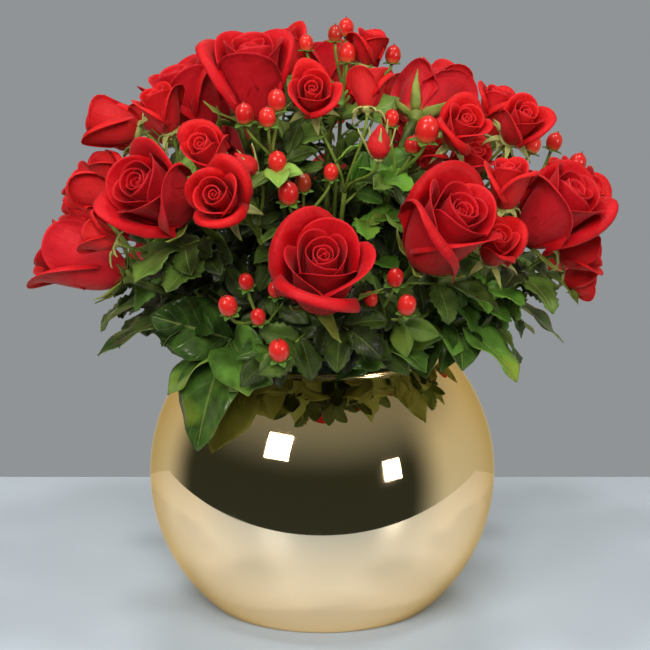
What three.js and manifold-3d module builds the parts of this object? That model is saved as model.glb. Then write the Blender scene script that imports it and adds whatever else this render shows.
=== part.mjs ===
/*
 * Floral table centerpiece. A round bowl of mirror-gold glass holds a plug of wet floral foam, and
 * cut stems are pushed into the foam so that their heads make a dome: large roses, spray roses,
 * berried sprigs and, round the rim, a collar of trailing leaves.
 *
 * Millimetres, +Z up. The origin is the middle of the bowl's foot, and the front is towards -Y.
 * A place in the dome is a bearing round the bowl (0 in front, 90 to the right), a tilt from
 * upright, both in degrees, and a reach from the heart, the point that the stems spread from.
 */
import * as THREE from 'three';
import { mergeVertices } from 'three/addons/utils/BufferGeometryUtils.js';
import Module from 'manifold-3d';

const wasm = await Module();
wasm.setup();

// Bowl
const BOWL_RADIUS = 100;
const BOWL_MIDDLE_Z = 76;
const RIM_Z = 150;
const GLASS_WALL = 3;
const GLASS_FLOOR = 4;
const MOUTH_RADIUS = 67;
const LIP_RADIUS = 1.6;
const ROUND_SIDES = 30;

// Foam
const FOAM_PROUD = 16;
const FOAM_CHAMFER = 8;
const FOAM_CLEARANCE = 0.3;

// Dome
const HEART = new THREE.Vector3(0, 0, 130);
const CLEARANCE = 0.4;
const STEM_DEPTH = 24;
const SEAT_SPREAD = 0.78;
const SEAT_LEAN = 0.7;

// Stems, by what they carry
const LARGE_STEM = 2.6;
const SPRAY_STEM = 1.7;
const SPRIG_STEM = 1.3;
const TRAIL_STEM = 1.4;
const TWIG = 0.9;

// How finely a stem is made: its lengths, and half the sides of its section
const ROUND = { steps: 4, halfSides: 3 };
const SQUARE = { steps: 3, halfSides: 2 };
const FINE = { steps: 2, halfSides: 2 };

// A head's outline, from its foot on the stem to its top, in parts of its diameter
const ROSE_OUTLINE = [[0, 0], [0.1, 0], [0.36, 0.2], [0.49, 0.5], [0.5, 0.78], [0.38, 1], [0, 1.03]];
const SPRAY_OUTLINE = [[0, 0], [0.12, 0], [0.42, 0.28], [0.5, 0.68], [0.36, 0.98], [0, 1]];
const BERRY_OUTLINE = [[0, 0], [0.28, 0.06], [0.45, 0.5], [0.32, 1], [0, 1.19]];
const HEAD_MIDDLE = 0.52;
const STEM_INTO_HEAD = 0.1;
const ROSE_SIDES = 10;
const SPRAY_SIDES = 8;
const BERRY_SIDES = 6;

// A berry's axis has this share of the tilt of its place, so it stands more upright than a rose there
const BERRY_UPRIGHT = 0.45;

// How far below the middle of its heads a stem forks, and how far a twig starts inside the stem
const SPRAY_FORK = 42;
const SPRIG_FORK = 26;
const TWIG_ROOT = 2;

// Large roses: bearing, tilt and reach of the head, its diameter, and the bearing and tilt it faces
const LARGE_ROSES = [
  [0, 56, 150, 55, 4, 47],
  [-42, 46, 173, 50, -40, 60],
  [-65, 60, 158, 44, -92, 68],
  [-31, 22, 189, 49, -10, 14],
  [-88, 25, 172, 48, -75, 22],
  [30, 50, 159, 55, 38, 47],
  [65, 52, 170, 48, 55, 46],
  [92, 20, 167, 47, 165, 80],
  [122, 56, 158, 50, 122, 52],
  [150, 42, 166, 50, 150, 38],
  [178, 57, 158, 52, 178, 54],
  [-152, 43, 166, 50, -152, 40],
  [-122, 57, 158, 50, -122, 54],
  [175, 18, 174, 50, 175, 20],
  [-135, 26, 178, 46, -135, 26],
];

// Spray roses: one stem a row, and for each of its heads the same six numbers
const SPRAY_ROSES = [
  [[-86, 38, 188, 33, -90, 75], [-65, 31, 184, 26, -60, 25], [-85, 44, 172, 26, -85, 50]],
  [[-67, 49, 181, 28, -95, 62], [-53, 56, 176, 22, -85, 70]],
  [[-24, 46, 178, 35, -15, 68], [-33, 37, 177, 28, -30, 50], [-23, 36, 169, 16, -70, 45]],
  [[-4, 23, 185, 31, 0, 55], [20, 22, 186, 24, 180, 22], [18, 33, 176, 19, 12, 14]],
  [[73, 8, 193, 24, 60, 15], [-122, 7, 188, 30, -60, 20]],
  [[51, 32, 180, 31, 25, 50], [51, 29, 155, 20, 0, 30]],
  [[82, 31, 187, 24, 60, 20], [67, 37, 190, 28, 30, 45], [66, 34, 158, 25, 40, 40]],
  [[49, 46, 178, 27, 10, 15], [44, 54, 161, 29, 15, 45]],
  [[84, 53, 182, 29, 60, 60], [77, 57, 187, 14, 95, 82]],
  [[74, 61, 166, 25, 80, 85], [82, 67, 158, 23, 85, 100]],
  [[108, 38, 182, 30, 108, 40], [128, 28, 182, 30, 128, 30]],
  [[104, 52, 180, 28, 104, 55], [112, 68, 164, 26, 112, 75]],
  [[150, 58, 172, 30, 150, 55], [140, 70, 164, 26, 140, 75]],
  [[180, 37, 178, 30, 180, 38], [158, 30, 182, 24, 158, 25]],
  [[-152, 60, 170, 30, -152, 60], [-166, 71, 162, 26, -166, 78]],
  [[-126, 40, 182, 30, -126, 40], [-108, 42, 186, 28, -108, 45]],
  [[-98, 55, 167, 26, -98, 60], [-106, 69, 162, 26, -106, 75]],
  [[-137, 70, 162, 28, -137, 70], [-151, 74, 158, 22, -151, 80]],
];

// Berried sprigs: one stem a row, and for each berry its bearing, tilt, reach and diameter
const BERRY_SPRIGS = [
  [[-15, 28, 192, 11], [-16, 32, 191, 10], [-24, 31, 190, 11]],
  [[-15, 33, 164, 11], [-10, 39, 158, 12], [-7, 33, 150, 10], [4, 28, 147, 9]],
  [[44, 6, 189, 11], [108, 4, 201, 10], [-60, 3, 193, 9], [20, 6, 200, 9], [91, 12, 190, 10]],
  [[37, 31, 178, 14], [30, 25, 174, 9], [39, 28, 162, 9]],
  [[21, 61, 139, 11], [19, 55, 141, 10], [13, 58, 130, 9]],
  [[-22, 62, 145, 11], [-17, 62, 128, 9], [-22, 54, 130, 9]],
  [[-10, 70, 134, 12], [-15, 53, 118, 9]],
  [[84, 43, 190, 10], [80, 48, 192, 11]],
  [[120, 44, 184, 11], [115, 47, 188, 11]],
  [[-166, 50, 172, 11], [-162, 54, 176, 11], [-171, 53, 174, 10]],
  [[-160, 31, 184, 11], [-165, 28, 187, 10]],
];

// Leaf trails: bearing, radius and height of the stem's end, leaf length, and the end leaf's tilt
const LEAF_TRAILS = [
  [-14, 84, 168, 38, 88],
  [-42, 76, 165, 62, 146],
  [-66, 94, 174, 44, 104],
  [-90, 94, 178, 38, 104],
  [-118, 96, 176, 42, 108],
  [-146, 92, 170, 44, 116],
  [-172, 98, 178, 42, 102],
  [160, 92, 170, 44, 112],
  [132, 100, 178, 44, 100],
  [106, 94, 172, 44, 110],
  [80, 104, 182, 42, 118],
  [56, 92, 172, 44, 112],
  [26, 84, 168, 40, 88],
];
const TRAIL_Z = 160;
const TRAIL_DEPTH = 12;
const LEAF_THICKNESS = 1;
const LEAF_WIDTH = 0.62;
const LEAF_POINT = 0.05;
const LEAF_BROADEST = 0.8;
const LEAF_FOLD = 0.1;
const LEAF_DROOP = 0.18;
const SIDE_LEAVES = [{ share: 0.4, splay: 38 }, { share: 0.65, splay: -38 }];
const SIDE_LEAF_TILT = 84;
const SIDE_LEAF_SIZE = 0.75;

const arrangement = new THREE.Group();
const UP = new THREE.Vector3(0, 0, 1);
const radians = THREE.MathUtils.degToRad;

function toward(bearing, tilt) {
  const across = Math.sin(radians(tilt));
  return new THREE.Vector3(
    across * Math.sin(radians(bearing)),
    -across * Math.cos(radians(bearing)),
    Math.cos(radians(tilt)),
  );
}

function inDome(bearing, tilt, reach) {
  return toward(bearing, tilt).multiplyScalar(reach).add(HEART);
}

// Solids: closed geometries go in, are joined and cut, and come out again

function solidOf(geometry) {
  geometry.deleteAttribute('normal');
  geometry.deleteAttribute('uv');
  const merged = mergeVertices(geometry, 1e-3);
  const corners = merged.index.array;
  const kept = [];
  for (let i = 0; i < corners.length; i += 3) {
    const [a, b, c] = corners.slice(i, i + 3);
    if (a !== b && b !== c && c !== a) kept.push(a, b, c);
  }
  return new wasm.Manifold(new wasm.Mesh({
    numProp: 3,
    vertProperties: Float32Array.from(merged.attributes.position.array),
    triVerts: Uint32Array.from(kept),
  }));
}

function geometryOf(solid) {
  const mesh = solid.getMesh();
  const geometry = new THREE.BufferGeometry();
  geometry.setAttribute('position', new THREE.BufferAttribute(mesh.vertProperties, 3));
  geometry.setIndex(new THREE.BufferAttribute(mesh.triVerts, 1));
  geometry.computeVertexNormals();
  return geometry;
}

function joined(solids) {
  return solids.reduce((sum, solid) => sum.add(solid));
}

// A turned shape: an outline of [radius, height] pairs spun about `direction`, starting at `foot`
function turned(outline, sides, foot, direction) {
  const points = outline.map(([radius, height]) => new THREE.Vector2(radius, height));
  const geometry = new THREE.LatheGeometry(points, sides);
  const turn = new THREE.Quaternion().setFromUnitVectors(new THREE.Vector3(0, 1, 0), direction);
  geometry.applyQuaternion(turn).translate(foot.x, foot.y, foot.z);
  return solidOf(geometry);
}

// The line of a stem that leaves `start` along `startWay` and arrives at `end` along `endWay`
function route(start, startWay, end, endWay, grow = 0) {
  const handle = start.distanceTo(end) / 3;
  return new THREE.CubicBezierCurve3(
    start.clone().addScaledVector(startWay, -grow),
    start.clone().addScaledVector(startWay, handle),
    end.clone().addScaledVector(endWay, -handle),
    end,
  );
}

function stem(path, radius, { steps, halfSides }) {
  const round = new THREE.Shape().absarc(0, 0, radius, 0, 2 * Math.PI);
  return solidOf(new THREE.ExtrudeGeometry(round, { extrudePath: path, steps, curveSegments: halfSides }));
}

// Where a stem goes into the foam's top, the way it points there, and its cut end inside
function seatFor(place) {
  const away = place.clone().sub(HEART).normalize();
  const tilt = THREE.MathUtils.radToDeg(away.angleTo(UP));
  const bearing = THREE.MathUtils.radToDeg(Math.atan2(away.x, -away.y));
  const way = toward(bearing, tilt * SEAT_LEAN);
  const mouth = toward(bearing, 90).multiplyScalar(tilt * SEAT_SPREAD);
  mouth.z = RIM_Z + FOAM_PROUD;
  return { way, cut: mouth.addScaledVector(way, -STEM_DEPTH) };
}

// Pieces: each is made with `grow` millimetres more all round when its neighbours are cut clear of it

function head(outline, sides, row, grow) {
  const [bearing, tilt, reach, diameter, faceBearing = bearing, faceTilt = tilt] = row;
  const facing = toward(faceBearing, faceTilt);
  const size = diameter + 2 * grow;
  const centre = inDome(bearing, tilt, reach);
  const foot = centre.clone().addScaledVector(facing, -HEAD_MIDDLE * diameter);
  const sunk = HEAD_MIDDLE * (size - diameter);
  const scaled = outline.map(([radius, height]) => [radius * size, height * size - sunk]);
  return {
    solid: turned(scaled, sides, foot, facing),
    facing,
    centre,
    neck: foot.clone().addScaledVector(facing, diameter * STEM_INTO_HEAD),
  };
}

function largeRose(row, grow) {
  const bloom = head(ROSE_OUTLINE, ROSE_SIDES, row, grow);
  const seat = seatFor(bloom.centre);
  const line = route(seat.cut, seat.way, bloom.neck, bloom.facing, grow);
  return bloom.solid.add(stem(line, LARGE_STEM + grow, ROUND));
}

// A cut stem that forks below its heads and sends a twig to each
function forked(heads, radius, below, grow) {
  const middle = new THREE.Vector3();
  heads.forEach((one) => middle.addScaledVector(one.neck, 1 / heads.length));
  const seat = seatFor(middle);
  const outward = middle.clone().sub(HEART).normalize();
  const fork = middle.clone().addScaledVector(outward, -below);
  const twigs = heads.map((one) => (
    stem(route(fork, outward, one.neck, one.facing, TWIG_ROOT), TWIG + grow, FINE)));
  const main = stem(route(seat.cut, seat.way, fork, outward, grow), radius + grow, SQUARE);
  return joined([main, ...twigs, ...heads.map((one) => one.solid)]);
}

function sprayRose(rows, grow) {
  const blooms = rows.map((row) => head(SPRAY_OUTLINE, SPRAY_SIDES, row, grow));
  return forked(blooms, SPRAY_STEM, SPRAY_FORK, grow);
}

function berrySprig(rows, grow) {
  const berries = rows.map(([bearing, tilt, reach, diameter]) => {
    const row = [bearing, tilt, reach, diameter, bearing, BERRY_UPRIGHT * tilt];
    return head(BERRY_OUTLINE, BERRY_SIDES, row, grow);
  });
  return forked(berries, SPRIG_STEM, SPRIG_FORK, grow);
}

// A leaf is a thin plate, pointed at both ends, folded a little along its midrib and bent downwards
function leaf(base, way, length, grow) {
  const plate = new THREE.BoxGeometry(1, 1, 1, 2, 3, 1);
  const at = plate.attributes.position;
  for (let i = 0; i < at.count; i += 1) {
    const along = at.getY(i) + 0.5;
    const across = at.getX(i) * 2;
    const fullness = Math.max(LEAF_POINT, Math.sin(Math.PI * along ** LEAF_BROADEST));
    const half = (length * LEAF_WIDTH * fullness) / 2 + grow;
    const fold = LEAF_FOLD * Math.abs(across) * Math.sin(Math.PI * along);
    const rise = length * (fold - LEAF_DROOP * along ** 2);
    const thick = at.getZ(i) * (LEAF_THICKNESS + 2 * grow);
    at.setXYZ(i, across * half, along * (length + 2 * grow) - grow, rise + thick);
  }
  const side = new THREE.Vector3().crossVectors(way, UP).normalize();
  const above = new THREE.Vector3().crossVectors(side, way);
  plate.applyMatrix4(new THREE.Matrix4().makeBasis(side, way, above).setPosition(base));
  return solidOf(plate);
}

function leafTrail([bearing, endRadius, endZ, length, endTilt], grow) {
  const outward = toward(bearing, 90);
  const start = outward.clone().multiplyScalar(MOUTH_RADIUS - TRAIL_DEPTH).setZ(TRAIL_Z);
  const end = outward.clone().multiplyScalar(endRadius).setZ(endZ);
  const endWay = toward(bearing, endTilt);
  const spine = route(start, outward, end, endWay);
  const sides = SIDE_LEAVES.map(({ share, splay }) => {
    const way = toward(bearing + splay, SIDE_LEAF_TILT);
    return leaf(spine.getPoint(share), way, length * SIDE_LEAF_SIZE, grow);
  });
  const trail = stem(route(start, outward, end, endWay, grow), TRAIL_STEM + grow, SQUARE);
  return joined([trail, leaf(end, endWay, length, grow), ...sides]);
}

// Each piece in turn is cut clear of those before it, and joins the arrangement under its name

const neighbours = [];

function boxesMeet(a, b) {
  return [0, 1, 2].every((k) => a.min[k] < b.max[k] && b.min[k] < a.max[k]);
}

function show(name, solid, colour, roughness, metalness = 0) {
  const mesh = new THREE.Mesh(
    geometryOf(solid),
    new THREE.MeshStandardMaterial({ color: colour, roughness, metalness }),
  );
  mesh.name = name;
  arrangement.add(mesh);
}

function settle(name, make, row, colour, roughness) {
  let solid = make(row, 0);
  const room = solid.boundingBox();
  for (const other of neighbours) {
    if (boxesMeet(room, other.boundingBox())) solid = solid.subtract(other);
  }
  const bodies = solid.decompose();
  bodies.sort((a, b) => b.volume() - a.volume());
  show(name, bodies[0], colour, roughness);
  neighbours.push(make(row, CLEARANCE));
}

// The bowl: a ball cut flat at the foot and at the rim, of even wall, with a rounded lip
function ballRadiusAt(z, radius) {
  return Math.sqrt(radius ** 2 - (z - BOWL_MIDDLE_Z) ** 2);
}

function glassBowl(grow) {
  const outside = BOWL_RADIUS + grow;
  const inside = BOWL_RADIUS - GLASS_WALL - grow;
  const neck = RIM_Z - 2 * LIP_RADIUS;
  const levels = [14, 36, 58, 80, 102, 124, neck];
  const outer = [0, ...levels].map((z) => [ballRadiusAt(z, outside), z]);
  const inner = levels.map((z) => [Math.max(ballRadiusAt(z, inside), MOUTH_RADIUS - grow), z]).reverse();
  const lip = [
    [MOUTH_RADIUS + 2 * LIP_RADIUS + grow, RIM_Z - 1],
    [MOUTH_RADIUS + LIP_RADIUS, RIM_Z + grow],
    [MOUTH_RADIUS - grow, RIM_Z - 1],
  ];
  const floor = [[ballRadiusAt(GLASS_FLOOR, inside), GLASS_FLOOR], [0, GLASS_FLOOR]];
  return turned([[0, 0], ...outer, ...lip, ...inner, ...floor], ROUND_SIDES, new THREE.Vector3(), UP);
}

// The foam: a round plug, narrowed at its foot to stand on the glass and chamfered where it stands proud
function floralFoam() {
  const radius = MOUTH_RADIUS - FOAM_CLEARANCE;
  const foot = GLASS_FLOOR + FOAM_CLEARANCE;
  const top = RIM_Z + FOAM_PROUD;
  const outline = [
    [0, foot], [radius - FOAM_CHAMFER, foot], [radius, foot + FOAM_CHAMFER],
    [radius, top - FOAM_CHAMFER], [radius - FOAM_CHAMFER, top], [0, top],
  ];
  return turned(outline, ROUND_SIDES, new THREE.Vector3(), UP);
}

neighbours.push(glassBowl(CLEARANCE));
show('glass_bowl', glassBowl(0), '#c9a860', 0.08, 1);

const numbered = (base, i) => `${base}_${String(i + 1).padStart(2, '0')}`;
LARGE_ROSES.forEach((row, i) => settle(numbered('rose', i), largeRose, row, '#b8141c', 0.6));
SPRAY_ROSES.forEach((row, i) => settle(numbered('spray_rose', i), sprayRose, row, '#c8202a', 0.6));
BERRY_SPRIGS.forEach((row, i) => settle(numbered('berry_sprig', i), berrySprig, row, '#d8342e', 0.3));
LEAF_TRAILS.forEach((row, i) => settle(numbered('leaf_trail', i), leafTrail, row, '#2c4a1e', 0.45));

// Every stem sits in a hole of its own in the foam
const stems = neighbours.slice(1);
show('floral_foam', stems.reduce((foam, other) => foam.subtract(other), floralFoam()), '#2f6b3a', 0.95);

export default arrangement;
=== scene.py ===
import bpy
import numpy as np
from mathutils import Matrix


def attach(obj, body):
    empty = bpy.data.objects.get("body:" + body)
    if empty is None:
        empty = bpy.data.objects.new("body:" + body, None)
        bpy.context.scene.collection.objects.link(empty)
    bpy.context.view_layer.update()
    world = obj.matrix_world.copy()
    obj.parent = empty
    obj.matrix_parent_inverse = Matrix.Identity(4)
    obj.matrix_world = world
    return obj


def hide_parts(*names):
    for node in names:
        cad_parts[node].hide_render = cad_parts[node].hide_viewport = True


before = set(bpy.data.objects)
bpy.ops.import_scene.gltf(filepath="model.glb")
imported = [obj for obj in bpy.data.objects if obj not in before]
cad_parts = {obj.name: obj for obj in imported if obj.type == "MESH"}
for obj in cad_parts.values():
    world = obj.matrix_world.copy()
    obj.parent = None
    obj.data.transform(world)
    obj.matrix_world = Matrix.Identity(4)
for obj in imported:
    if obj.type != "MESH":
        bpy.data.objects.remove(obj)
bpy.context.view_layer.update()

# ---- Bowl ----
# One blown ball of clear glass, opened at the top and ground flat at the foot, its lip melted to a round
# edge. A thin metal film on the glass makes it a mirror of pale gold, outside and in.

MM = 0.001
BOWL_RADIUS = 100 * MM
BOWL_MIDDLE = 76 * MM
RIM_Z = 150 * MM
GLASS_WALL = 3 * MM
GLASS_FLOOR = 4 * MM
MOUTH_RADIUS = 67 * MM
LIP_RADIUS = 1.6 * MM
FOOT_ROUNDING = 2.5 * MM
FOOT_RING = 6 * MM
FOOT_HOLLOW = 1 * MM
HOLLOW_SLOPE = 3 * MM
SOFT_EDGE = 1 * MM
POLE_FACE = 0.02 * MM
BOWL_SIDES = 144
HAZE_PATCH = 18 * MM
FILM_PATCH = 110 * MM
FILM_WANDER = 30 * MM
GLASS_WAVE = 45 * MM


def linear(colour):
    """An sRGB hex colour as the linear one that a shader takes."""
    parts = np.array([int(colour[at:at + 2], 16) for at in (1, 3, 5)]) / 255
    parts = np.where(parts <= 0.04045, parts / 12.92, ((parts + 0.055) / 1.055) ** 2.4)
    return (*parts, 1.0)


def add_node(tree, kind, sockets=None, **settings):
    """Adds a node with its settings. A socket is given a number, a colour or another node's output."""
    made = tree.nodes.new("ShaderNode" + kind)
    for name, value in settings.items():
        setattr(made, name, value)
    for name, value in (sockets or {}).items():
        if isinstance(value, bpy.types.NodeSocket):
            tree.links.new(value, made.inputs[name])
        else:
            made.inputs[name].default_value = value
    return made.outputs


def new_finish(name, **constants):
    """A new material and its node tree. Its constants are set on the shader's own sockets."""
    finish = bpy.data.materials.new(name)
    finish.use_nodes = True
    shader = finish.node_tree.nodes["Principled BSDF"]
    for socket, value in constants.items():
        shader.inputs[socket.replace("_", " ")].default_value = value
    return finish, finish.node_tree


def connect(finish, **outputs):
    """Links outputs to the sockets of a finish's shader and gives the finish back."""
    tree = finish.node_tree
    for socket, output in outputs.items():
        tree.links.new(output, tree.nodes["Principled BSDF"].inputs[socket.replace("_", " ")])
    return finish


def laid_over(tree, under, over, value, start=0.0, full=1.0, most=1.0, **settings):
    """The under colour with another laid over it, none of it where the value is at start and most of it
    where the value is at full."""
    share = add_node(tree, "MapRange", {"Value": value, "From Min": start, "From Max": full, "To Max": most},
                     **settings)["Result"]
    return add_node(tree, "MixRGB", {"Fac": share, "Color1": under, "Color2": linear(over)})["Color"]


def put_in_scene(name, data):
    """A new object in the scene, at the origin."""
    made = bpy.data.objects.new(name, data)
    bpy.context.scene.collection.objects.link(made)
    return made


def turned(radius, turns, height):
    """Points at a radius, a turn round the axis, in radians, and a height."""
    return np.stack(np.broadcast_arrays(radius * np.cos(turns), radius * np.sin(turns), height), -1)


def skin(rings):
    """A closed surface over rings of points: four-sided faces from ring to ring, a flat face on each end."""
    count, sides = rings.shape[:2]
    row, column = np.meshgrid(np.arange(count - 1), np.arange(sides), indexing="ij")
    here, after = row * sides + column, row * sides + (column + 1) % sides
    walls = np.stack([here, after, after + sides, here + sides], -1).reshape(-1, 4)
    ends = [list(range(sides))[::-1], list(range((count - 1) * sides, count * sides))]
    return rings.reshape(-1, 3), walls.tolist() + ends


class Bunch:
    """Closed surfaces gathered into one piece. Each point keeps its place (across and along its own petal
    or leaf, and 1 on the outer or upper side) and a tone, a number from 0 to 1 that shifts its colour."""

    def __init__(self):
        self.points, self.faces, self.which, self.places, self.tones = [], [], [], [], []
        self.finishes = []
        self.total = 0

    def take(self, surface, finish, places=None, tones=0.5):
        points, faces = surface
        if finish not in self.finishes:
            self.finishes.append(finish)
        self.points.append(points)
        self.faces.extend([[corner + self.total for corner in face] for face in faces])
        self.which.extend([self.finishes.index(finish)] * len(faces))
        self.places.append(np.zeros_like(points) if places is None else places)
        self.tones.append(np.broadcast_to(tones, len(points)))
        self.total += len(points)

    def piece(self, name, slot, node):
        mesh = bpy.data.meshes.new(name)
        mesh.from_pydata(np.concatenate(self.points), [], self.faces)
        for finish in self.finishes:
            mesh.materials.append(finish)
        mesh.polygons.foreach_set("material_index", self.which)
        mesh.shade_smooth()
        place = mesh.attributes.new("place", "FLOAT_VECTOR", "POINT")
        place.data.foreach_set("vector", np.concatenate(self.places).ravel())
        tone = mesh.attributes.new("tone", "FLOAT", "POINT")
        tone.data.foreach_set("value", np.concatenate(self.tones))
        made = put_in_scene(name, mesh)
        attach(made, "root")
        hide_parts(node)


def arc(middle, radius, start, end, steps):
    """Radius and height of points on a round edge, from one angle to another, in degrees."""
    turns = np.radians(np.linspace(start, end, steps))
    return np.asarray(middle) + radius * np.stack([np.cos(turns), np.sin(turns)], -1)


def ball_line(radius, low, high, steps):
    """Radius and height of points up a ball's side, from one height to another."""
    ends = np.degrees(np.arcsin((np.array([low, high]) - BOWL_MIDDLE) / radius))
    return arc((0, BOWL_MIDDLE), radius, *ends, steps)


def blown_bowl():
    """The bowl's section, from the middle of the foot round the outside, over the lip and down the inside,
    carried once round the axis."""
    neck = RIM_Z - 2 * LIP_RADIUS
    start = FOOT_ROUNDING * (1 - BOWL_MIDDLE / BOWL_RADIUS) / (1 - FOOT_ROUNDING / BOWL_RADIUS)
    outside = ball_line(BOWL_RADIUS, start, neck - SOFT_EDGE, 64)
    inside = ball_line(BOWL_RADIUS - GLASS_WALL, GLASS_FLOOR + SOFT_EDGE, neck, 40)[::-1]
    inside[:, 0] = np.where(inside[:, 1] > BOWL_MIDDLE, np.maximum(inside[:, 0], MOUTH_RADIUS), inside[:, 0])
    slant = np.arcsin((start - BOWL_MIDDLE) / BOWL_RADIUS)
    foot_middle = ((BOWL_RADIUS - FOOT_ROUNDING) * np.cos(slant), FOOT_ROUNDING)
    foot = arc(foot_middle, FOOT_ROUNDING, -90, np.degrees(slant), 6)[:-1]
    lip = arc((MOUTH_RADIUS + LIP_RADIUS, RIM_Z - LIP_RADIUS), LIP_RADIUS, -20, 180, 14)
    ring = foot[0, 0] - FOOT_RING
    hollow = [[POLE_FACE, FOOT_HOLLOW], [ring - HOLLOW_SLOPE, FOOT_HOLLOW], [ring, 0]]
    floor = [[inside[-1, 0] - SOFT_EDGE, GLASS_FLOOR], [POLE_FACE, GLASS_FLOOR]]
    line = np.concatenate([hollow, foot, outside, lip, inside, floor])
    turns = np.linspace(0, 2 * np.pi, BOWL_SIDES, endpoint=False)
    return skin(turned(line[:, :1], turns, line[:, 1:]))


def gold_glass():
    """Electroplated glass: mirror-bright, with the soft waviness that blown glass keeps, a few centimetres
    from crest to crest, a breath of haze where it has been handled, and duller on the melted lip. The film
    is deeper gold towards the rim."""
    finish, tree = new_finish("gold_plated_glass", Metallic=1.0, Specular_Tint=linear("#E6D6AE"))
    spot = add_node(tree, "TexCoord")["Object"]
    haze = add_node(tree, "TexNoise", {"Vector": spot, "Scale": 1 / HAZE_PATCH, "Detail": 4.0})["Fac"]
    rough = add_node(tree, "MapRange", {"Value": haze, "From Min": 0.35, "From Max": 0.8,
                                        "To Min": 0.02, "To Max": 0.075})["Result"]
    height = add_node(tree, "SeparateXYZ", {"Vector": spot})["Z"]
    lip = add_node(tree, "MapRange", {"Value": height, "From Min": RIM_Z - 3 * MM, "From Max": RIM_Z - 2 * MM,
                                      "To Max": 0.2})["Result"]
    rough = add_node(tree, "Math", {0: rough, 1: lip}, operation="ADD")["Value"]
    drift = add_node(tree, "TexNoise", {"Vector": spot, "Scale": 1 / FILM_PATCH, "Detail": 1.0})["Fac"]
    height = add_node(tree, "Math", {0: drift, 1: FILM_WANDER, 2: height}, operation="MULTIPLY_ADD")["Value"]
    film = laid_over(tree, linear("#FCF1D8"), "#F6DAA8", height, BOWL_MIDDLE, RIM_Z)
    wave = add_node(tree, "TexNoise", {"Vector": spot, "Scale": 1 / GLASS_WAVE, "Detail": 0.0})["Fac"]
    bump = add_node(tree, "Bump", {"Height": wave, "Strength": 0.35, "Distance": 0.25 * MM})["Normal"]
    return connect(finish, Base_Color=film, Roughness=rough, Normal=bump)


bowl = Bunch()
bowl.take(blown_bowl(), gold_glass())
bowl.piece("gold_bowl", "gold_glass", "glass_bowl")

# ---- Foam ----
# A plug of phenolic floral foam, wedged in the mouth and soaked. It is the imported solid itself, seen only
# in chinks between the leaves: dull dark green, with open cells about a millimetre wide.

FOAM_CELL = 1.2 * MM


def wet_foam():
    """Soaked open-cell foam: dark and dull, and pitted by its cells, which are paler round their edges."""
    finish, tree = new_finish("wet_floral_foam", Roughness=0.8)
    spot = add_node(tree, "TexCoord")["Object"]
    cells = add_node(tree, "TexVoronoi", {"Vector": spot, "Scale": 1 / FOAM_CELL})["Distance"]
    pits = add_node(tree, "Bump", {"Height": cells, "Strength": 0.8, "Distance": 0.5 * MM})["Normal"]
    return connect(finish, Base_Color=laid_over(tree, linear("#08140A"), "#1C3820", cells), Normal=pits)


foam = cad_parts["floral_foam"]
foam.data.materials.clear()
foam.data.materials.append(wet_foam())

# ---- Large roses ----
# Fifteen cut red roses, each a stem, a calyx of five sepals and eighteen petals that open in a spiral. The
# stems are pushed into the foam, all pointing away from the heart of the dome, and blooms lean on each other.

HEART = np.array([0, 0, 130]) * MM
FOAM_TOP = 166 * MM
STEM_DEPTH = 24 * MM
SEAT_SPREAD = 0.78 * MM
SEAT_LEAN = 0.7
HEAD_MIDDLE = 0.52
STEM_INTO_HEAD = 0.1
LARGE_STEM = 2.6 * MM
STEM_SIDES = 8
PETAL_THICKNESS = 0.35 * MM
SEPAL_THICKNESS = 0.6 * MM
LEAF_THICKNESS = 0.4 * MM
GOLDEN_ANGLE = np.radians(137.508)
FULL_TURN = 6.28

# Real sizes of the patterns: half of a wide petal, and from one vein, patch, crease or fleck to the next.
HALF_PETAL = 26 * MM
PETAL_VEIN = 1 * MM
PETAL_PATCH = 14.3 * MM
PETAL_CREASE = 7 * MM
STEM_FLECK = 7.1 * MM
LEAF_FLECK = 11.1 * MM
LEAF_PATCH = 26 * MM

# A bloom's petals, and the points across and along each of them.
LARGE_PETALS = (18, 15, 14)

# Where compound leaves stand on a long stem, as shares of its length, and the size and turn of a leaf's
# five leaflets: one at its end and two pairs.
LARGE_LEAF = 29 * MM
LEAF_SHARES = [0.42, 0.56, 0.7, 0.82, 0.92]
LEAFLET_SIZES = np.array([1.0, 0.85, 0.85, 0.6, 0.6])
LEAFLET_TURNS = np.array([0, 1.2, -1.2, 1.5, -1.5])[:, None]
LEAFLET = dict(fold=0.35, droop=0.6, wave=0.05, wide=7, long=14)
SEPAL = dict(outline="sepal", fold=0.5, wave=0.03, wide=5, long=8)

# The random draws start from these given seeds.
CALYX_SEED = 510
LARGE_LEAF_SEED = 200

# A head's row is its bearing, tilt and reach from the heart, its width, the bearing and tilt it faces, how
# far it has opened and the turn of its first petal, in degrees and millimetres. A spray rose's stops at the
# tilt that it faces, and each of its rows is a whole stem.
LARGE_ROSES = [
    [0, 56, 150, 55, 4, 47, 0.5, 75],
    [-42, 46, 173, 50, -40, 60, 0.45, 180],
    [-65, 60, 158, 44, -92, 68, 0.1, 120],
    [-31, 22, 189, 49, -10, 14, 0.45, 10],
    [-88, 25, 172, 48, -75, 22, 0.4, 250],
    [30, 50, 159, 55, 38, 47, 0.45, 22],
    [65, 52, 170, 48, 55, 46, 0.3, 130],
    [92, 20, 167, 47, 165, 80, 0.4, 0],
    [122, 56, 158, 50, 122, 52, 0.6, 30],
    [150, 42, 166, 50, 150, 38, 0.45, 220],
    [178, 57, 158, 52, 178, 54, 0.7, 100],
    [-152, 43, 166, 50, -152, 40, 0.5, 290],
    [-122, 57, 158, 50, -122, 54, 0.55, 190],
    [175, 18, 174, 50, 175, 20, 0.65, 340],
    [-135, 26, 178, 46, -135, 26, 0.4, 60],
]
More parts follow.
